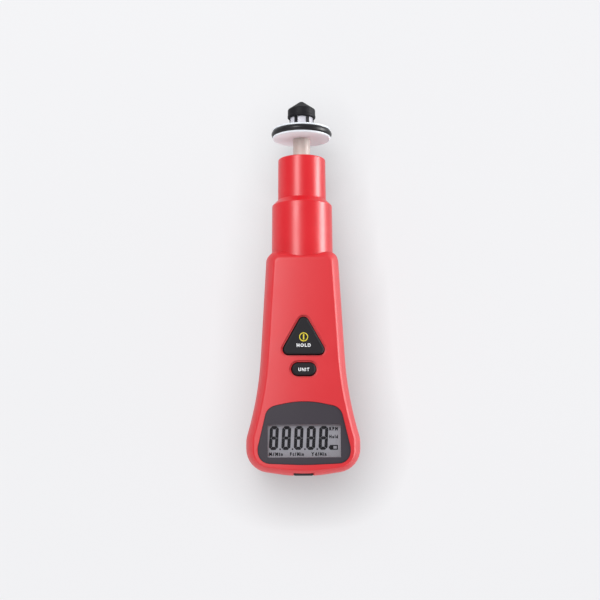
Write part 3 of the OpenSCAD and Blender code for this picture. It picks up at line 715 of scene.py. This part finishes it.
class TACHOMETER_OT_insides(bpy.types.Operator):
    """Finish the optics, the boards, the battery and what joins them"""
    bl_idname = "tachometer.insides"
    bl_label = "Insides"

    def execute(self, context):
        black = black_moulding()
        brass = turned_brass()
        steel = plated_steel()
        clear = clear_pane()
        board = moulded("board_mask", from_srgb(24, 92, 52), 0.3, grain=900, mottle=0.25, bump=0.2)
        zebra = moulded("zebra_rubber", from_srgb(52, 50, 54), 0.6)
        wrap = moulded("battery_wrap", from_srgb(40, 42, 48), 0.3, mottle=0.1, bump=0.1)
        film = moulded("ribbon_film", from_srgb(196, 182, 150), 0.35, mottle=0.1, bump=0.1)
        sleeve = moulded("wire_sleeve", from_srgb(30, 30, 32), 0.35)
        finishes = {
            "lcd_frame": black, "zebra_strips": zebra, "main_board": board, "controller_chip": black,
            "quartz_crystal": steel, "battery": wrap, "battery_snap": black, "battery_leads": sleeve,
            "board_screws": steel, "sensor_nozzle": black, "sensor_window": clear, "optics_holder": black,
            "laser_module": brass, "receiver_lens": clear, "photo_sensor": black, "sensor_board": board,
            "sensor_ribbon": film,
        }
        plain = ("sensor_window", "receiver_lens", "battery_leads", "sensor_ribbon")
        for node, material in finishes.items():
            dress(node, material, edge=0 if node in plain else 0.12 * MM)
        return {"FINISHED"}


class TACHOMETER_OT_stage(bpy.types.Operator):
    """Set the floor, the light and the camera"""
    bl_idname = "tachometer.stage"
    bl_label = "Studio"

    # The point on the barrel axis at the picture's centre
    aim = Vector((-1.3 * MM, -7.95 * MM, 22.8 * MM))
    # Half the side of the table
    floor_half = 3
    # How much of the table's look is its own glowing white, which carries a painted shadow round the object
    glow_share = 0.82
    # How far from the object that glowing white is darkened by a painted shadow, how deep that shadow is, and
    # the side that its painted light comes from
    painted_shadow_reach = 0.032
    painted_shadow_depth = 0.75
    painted_shadow_from = (-0.24, 0.38, 0.89)
    # Room between the table and the object's back
    floor_gap = 0.05 * MM
    # Colour of the light from all round, and how pale the air looks
    air_tint = (0.95, 0.97, 1)
    air_strength = 0.65

    def execute(self, context):
        studio = context.scene.tachometer_studio
        self.floor(studio)
        self.surroundings(context.scene, studio)
        key = self.area("key_light", (-0.2, 0.45, 0.87), (-26, -12, 0), (0.5, 0.7), studio.key_power)
        key.visible_glossy = False
        strip = self.area("key_card", (-0.39, 0.35, 0.87), (-20, -24, 0), (0.3, 0.7), studio.strip_power)
        strip.visible_diffuse = False
        self.area("fill_light", (-0.35, -0.95, 0.28), (75, 0, -20), (1.0, 0.4), studio.fill_power)
        self.area("side_light", (0.7, 0.05, 0.1), (0, 82, 0), (0.18, 0.8), studio.side_power)
        card = self.area("side_card", (0.71, 0.05, 0.15), (0, 78, 0), (0.3, 0.8), studio.card_power)
        card.visible_diffuse = False
        self.camera(context.scene, studio)
        context.scene.view_settings.view_transform = "Standard"
        return {"FINISHED"}

    def floor(self, studio):
        """Wide table top just under the object."""
        half, low = self.floor_half, -self.floor_gap
        mesh = bpy.data.meshes.new("table_top")
        corners = [(-half, -half, low), (half, -half, low), (half, half, low), (-half, half, low)]
        mesh.from_pydata(corners, [], [(0, 1, 2, 3)])
        table = bpy.data.objects.new("table_top", mesh)
        bpy.context.scene.collection.objects.link(table)
        mesh.materials.append(self.paper(studio))

    def paper(self, studio):
        """Pale paper that shows partly its own glowing white, darkened round the object by a painted shadow
        that leans to one side, and partly the light and shade that fall on it.
        """
        material = moulded("table_paper", studio.floor, 0.75, grain=1500, mottle=0.01, bump=0.03)
        tree = material.node_tree
        # Painted shadow: the glowing white is darkened beside the object by ambient occlusion with a tilted
        # normal, deeper on one side
        even = add_node(tree, "ShaderNodeEmission", (0, -400), Color=(*studio.floor, 1))
        painted_shadow_ao = add_node(tree, "ShaderNodeAmbientOcclusion", (-500, -300), Distance=self.painted_shadow_reach)
        towards = add_node(tree, "ShaderNodeCombineXYZ", (-700, -300))
        for socket, value in zip(towards.inputs, self.painted_shadow_from):
            socket.default_value = value
        tree.links.new(towards.outputs[0], painted_shadow_ao.inputs["Normal"])
        shade = ranged(tree, painted_shadow_ao.outputs["AO"], (0, 1), (1 - self.painted_shadow_depth, 1))
        tree.links.new(shade, even.inputs["Strength"])
        share = calculate(tree, "MULTIPLY", self.seen(tree), self.glow_share)
        self.blend(tree, share, tree.nodes["Principled BSDF"], even, tree.nodes["Material Output"])
        return material

    def seen(self, tree):
        """Socket that is 1 for what the camera sees directly, in a reflection or through a clear piece."""
        path = add_node(tree, "ShaderNodeLightPath", (-500, -600)).outputs
        direct = calculate(tree, "MAXIMUM", path["Is Camera Ray"], path["Is Glossy Ray"])
        return calculate(tree, "MAXIMUM", direct, path["Is Transmission Ray"])

    def blend(self, tree, share, first, second, end):
        """Joins two shader nodes by a socket that gives the share of the second, and puts the result out."""
        mix = add_node(tree, "ShaderNodeMixShader", (300, 0))
        for socket, source in zip(mix.inputs, (share, first.outputs[0], second.outputs[0])):
            tree.links.new(source, socket)
        tree.links.new(mix.outputs[0], end.inputs["Surface"])

    def surroundings(self, scene, studio):
        """Even light from all round, which looks as pale as the table."""
        world = bpy.data.worlds.new("studio_air")
        world.use_nodes = True
        tree = world.node_tree
        light = tree.nodes["Background"]
        light.inputs["Color"].default_value = (*self.air_tint, 1)
        light.inputs["Strength"].default_value = studio.ambient
        pale = add_node(tree, "ShaderNodeBackground", (0, -300), Color=(*studio.floor, 1),
                        Strength=self.air_strength)
        self.blend(tree, self.seen(tree), light, pale, tree.nodes["World Output"])
        scene.world = world

    def area(self, name, place, turn, size, power):
        """Rectangular soft light, turned by angles in degrees."""
        light = bpy.data.lights.new(name, "AREA")
        light.shape = "RECTANGLE"
        light.size, light.size_y = size
        light.energy = power
        lamp = bpy.data.objects.new(name, light)
        lamp.location = place
        lamp.rotation_euler = [math.radians(angle) for angle in turn]
        bpy.context.scene.collection.objects.link(lamp)
        return lamp

    def camera(self, scene, studio):
        """Camera above the instrument, leaning back towards its tail."""
        data = bpy.data.cameras.new("camera")
        data.lens = studio.lens
        data.sensor_width = 36
        eye = bpy.data.objects.new("camera", data)
        turn = Euler((studio.tilt, -studio.lean, studio.roll))
        eye.location = self.aim + turn.to_matrix() @ Vector((0, 0, studio.distance))
        eye.rotation_euler = turn
        scene.collection.objects.link(eye)
        scene.camera = eye


class TACHOMETER_PT_sidebar(bpy.types.Panel):
    """Settings and steps of the tachometer's finish"""
    bl_label = "Tachometer"
    bl_space_type = "VIEW_3D"
    bl_region_type = "UI"
    bl_category = "Tachometer"

    def draw(self, context):
        for name, kind in SETTINGS.items():
            box = self.layout.box()
            for prop in kind.__annotations__:
                box.prop(getattr(context.scene, name), prop)
        for step in STEPS:
            self.layout.operator(step.bl_idname)


STEPS = (TACHOMETER_OT_case, TACHOMETER_OT_display, TACHOMETER_OT_keys, TACHOMETER_OT_rotor,
         TACHOMETER_OT_insides, TACHOMETER_OT_stage)
CLASSES = (*SETTINGS.values(), *STEPS, TACHOMETER_PT_sidebar)


def register():
    for kind in CLASSES:
        bpy.utils.register_class(kind)
    for name, kind in SETTINGS.items():
        setattr(bpy.types.Scene, name, PointerProperty(type=kind))


def unregister():
    for name in SETTINGS:
        delattr(bpy.types.Scene, name)
    for kind in reversed(CLASSES):
        bpy.utils.unregister_class(kind)


def main():
    register()
    for step in STEPS:
        area, name = step.bl_idname.split(".")
        getattr(getattr(bpy.ops, area), name)()


if __name__ == "__main__":
    main()
